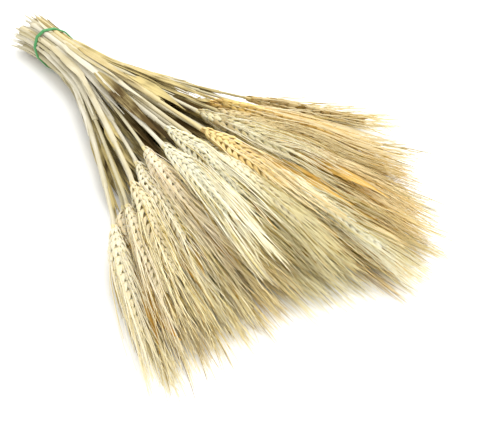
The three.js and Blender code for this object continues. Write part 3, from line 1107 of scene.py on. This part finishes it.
def growStalk(stalk, index):
    dice = random.Random(stalkRule["seed"] + index)
    stalk["blush"] = stalkRule["blush"].get(stalk["column"], 0) * dice.uniform(*stalkRule["blushVaries"])
    bm = bmesh.new()
    growthLayer = bm.verts.layers.float_vector.new("growth")
    growStraw(bm, growthLayer, stalk, dice)
    growLeaves(bm, growthLayer, stalk, dice)
    growEar(bm, growthLayer, stalk, dice)
    bmesh.ops.recalc_face_normals(bm, faces=bm.faces)
    name = f"triticale_stalk_{index + 1:02d}"
    mesh = bpy.data.meshes.new(name)
    bm.to_mesh(mesh)
    bm.free()
    mesh.shade_smooth()
    mesh.set_sharp_from_angle(angle=stalkRule["sharpEdge"])
    bendIntoPile(mesh, stalk)
    for material in cerealMaterials[stalk["colour"]]:
        mesh.materials.append(material)
    piece = bpy.data.objects.new(name, mesh)
    bpy.context.scene.collection.objects.link(piece)
    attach(piece, "root")
    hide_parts(f"stalk_{index + 1:02d}")
    return piece


pieces = [growStalk(stalk, index) for index, stalk in enumerate(stalks)]
for template in (huskMesh, awnMesh):
    bpy.data.meshes.remove(template)
triangles = sum(len(piece.data.loops) - 2 * len(piece.data.polygons) for piece in pieces)
print("stalks grown:", triangles, "triangles")


band = {
    "steps": 160,
    "outermost": 0.1,  # a straw this near to the edge of the pack carries the band, in straws
    "edge": 0.45,
    "edgeSegments": 3,
    "sharpEdge": math.radians(60),
    "waver": 0.25,
    "colour": "#3A8847",
    "bloomColour": "#66A872",
    "bloomSize": 4,
    "bloomSpan": (0.4, 0.75),  # of the noise, from bare to dusty
    "bloomAmount": 0.5,
    "poreSize": 0.5,  # drawn much coarser than the skin of real latex, which is too fine to show
    "poreDepth": 0.1,
    "relief": 0.2,
    "glossSpan": (0.3, 0.7),
    "roughness": (0.38, 0.6),  # bare and under the bloom
    "ior": 1.52,
}


def makeBandRubber():
    # Moulded latex rubber: coloured through, satin, with a dusty bloom where it is stretched.
    material = bpy.data.materials.new("green_latex_rubber")
    material.use_nodes = True
    tree = material.node_tree
    shader = tree.nodes["Principled BSDF"]
    place = addNode(tree, "TexCoord", {}).outputs["Object"]
    bloom = addNode(
        tree, "TexNoise", {"Vector": place, "Scale": 1000 / band["bloomSize"], "Detail": 4}
    ).outputs["Fac"]
    pores = addNode(
        tree, "TexNoise", {"Vector": place, "Scale": 1000 / band["poreSize"], "Detail": 2}
    ).outputs["Fac"]
    bloomLow, bloomHigh = band["bloomSpan"]
    dusty = addNode(
        tree, "MapRange", {0: bloom, 1: bloomLow, 2: bloomHigh, 3: 0, 4: band["bloomAmount"]}
    ).outputs[0]
    bare, dusted = toLinear(band["colour"]), toLinear(band["bloomColour"])
    colour = addNode(tree, "Mix", {0: dusty, 6: bare, 7: dusted}, data_type="RGBA").outputs[2]
    glossLow, glossHigh = band["glossSpan"]
    satin, matt = band["roughness"]
    gloss = addNode(
        tree, "MapRange", {0: bloom, 1: glossLow, 2: glossHigh, 3: satin, 4: matt}
    ).outputs[0]
    depth = band["poreDepth"] / 1000
    bump = addNode(
        tree, "Bump", {"Strength": band["relief"], "Distance": depth, "Height": pores}
    ).outputs[0]
    tree.links.new(colour, shader.inputs["Base Color"])
    tree.links.new(gloss, shader.inputs["Roughness"])
    tree.links.new(bump, shader.inputs["Normal"])
    shader.inputs["IOR"].default_value = band["ior"]
    return material


def makeBand():
    outermost = [
        place
        for column, places in packedColumns()
        for place in places
        if math.hypot(*place) > packRadius - band["outermost"] * strawPitch
    ]
    offset = bunch["strawRadius"] + bunch["bandGap"]
    bm = bmesh.new()
    bmesh.ops.create_circle(
        bm, segments=band["steps"], radius=1, matrix=Matrix.Rotation(math.radians(90), 4, "Y")
    )
    # each point of the circle moves out to the straw that reaches furthest its way
    for vert in bm.verts:
        way = vert.co.normalized()
        across, up = max(outermost, key=lambda place: place[0] * way.y + place[1] * way.z)
        vert.co = (-bunch["bandWidth"] / 2, across + way.y * offset, up + way.z * offset)
    strip = bmesh.ops.extrude_edge_only(bm, edges=bm.edges[:])["geom"]
    fresh = [g for g in strip if isinstance(g, bmesh.types.BMVert)]
    bmesh.ops.translate(bm, vec=(bunch["bandWidth"], 0, 0), verts=fresh)
    bmesh.ops.recalc_face_normals(bm, faces=bm.faces)
    outward = sum(face.normal.dot(face.calc_center_median().normalized()) for face in bm.faces)
    thickness = -math.copysign(bunch["bandThickness"], outward)
    bmesh.ops.solidify(bm, geom=bm.faces[:], thickness=thickness)
    bmesh.ops.recalc_face_normals(bm, faces=bm.faces)
    edges = [edge for edge in bm.edges if len(edge.link_faces) == 2]
    rims = [edge for edge in edges if edge.calc_face_angle() > band["sharpEdge"]]
    bmesh.ops.bevel(
        bm,
        geom=rims,
        offset=band["edge"],
        offset_type="OFFSET",
        segments=band["edgeSegments"],
        profile=0.5,
        affect="EDGES",
        material=-1,
    )
    # a slow and a quicker wave, so that the loop is not quite even, and the slant of the band
    for vert in bm.verts:
        angle = math.atan2(vert.co.z, vert.co.y)
        waver = band["waver"] * (math.sin(3 * angle + 1) + 0.6 * math.sin(5 * angle))
        skew = bunch["bandSkewAcross"] * vert.co.y + bunch["bandSkewUp"] * vert.co.z
        vert.co += Vector((skew + waver + bunchMiddle.x, bunchMiddle.y, bandHeight))
        vert.co /= 1000
    mesh = bpy.data.meshes.new("green_rubber_band")
    bm.to_mesh(mesh)
    bm.free()
    mesh.shade_smooth()
    mesh.materials.append(makeBandRubber())
    piece = bpy.data.objects.new("green_rubber_band", mesh)
    bpy.context.scene.collection.objects.link(piece)
    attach(piece, "root")
    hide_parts("rubber_band")
    return piece


makeBand()
print("band made")


studio = {
    "tableSize": 6.0,  # metres, as the lamp's size and place are
    "tableColour": "#F4F4F2",
    "tableRoughness": 0.9,
    "skyColour": "#FFFFFF",
    "skyStrength": 1.2,
    "lampEnergy": 50,
    "lampSize": 2.4,
    "lampPlace": (-0.1, 1.0, 2.15),
    "target": (298.1, -13.6, 0),  # from the waist, in millimetres
    "cameraFromTarget": (650.2, -536.0, 707.1),
    "lens": 97.9,
    "sensor": 36,
}

bpy.ops.mesh.primitive_plane_add(size=studio["tableSize"], location=(0, 0, 0))
table = bpy.context.object
table.name = "pale_table"
tableMaterial = bpy.data.materials.new("matt_white_board")
tableMaterial.use_nodes = True
tableShader = tableMaterial.node_tree.nodes["Principled BSDF"]
tableShader.inputs["Base Color"].default_value = toLinear(studio["tableColour"])
tableShader.inputs["Roughness"].default_value = studio["tableRoughness"]
table.data.materials.append(tableMaterial)

world = bpy.data.worlds.new("bright_studio")
world.use_nodes = True
sky = world.node_tree.nodes["Background"]
sky.inputs["Color"].default_value = toLinear(studio["skyColour"])
sky.inputs["Strength"].default_value = studio["skyStrength"]
bpy.context.scene.world = world


softbox = bpy.data.lights.new("softbox", "AREA")
softbox.size = studio["lampSize"]
softbox.energy = studio["lampEnergy"]
lamp = bpy.data.objects.new("softbox", softbox)
lamp.location = studio["lampPlace"]
lamp.rotation_euler = (-Vector(studio["lampPlace"])).to_track_quat("-Z", "Y").to_euler()
bpy.context.scene.collection.objects.link(lamp)

camera = bpy.data.objects.new("camera", bpy.data.cameras.new("camera"))
camera.data.lens = studio["lens"]
camera.data.sensor_width = studio["sensor"]
camera.data.sensor_fit = "HORIZONTAL"
waistOnTable = Vector((bunchMiddle.x, bunchMiddle.y, 0))
cameraFromTarget = Vector(studio["cameraFromTarget"])
camera.location = (waistOnTable + Vector(studio["target"]) + cameraFromTarget) / 1000
camera.rotation_euler = (-cameraFromTarget).to_track_quat("-Z", "Y").to_euler()
bpy.context.scene.collection.objects.link(camera)
bpy.context.scene.camera = camera
bpy.context.scene.view_settings.view_transform = "Standard"
print("studio and camera set")
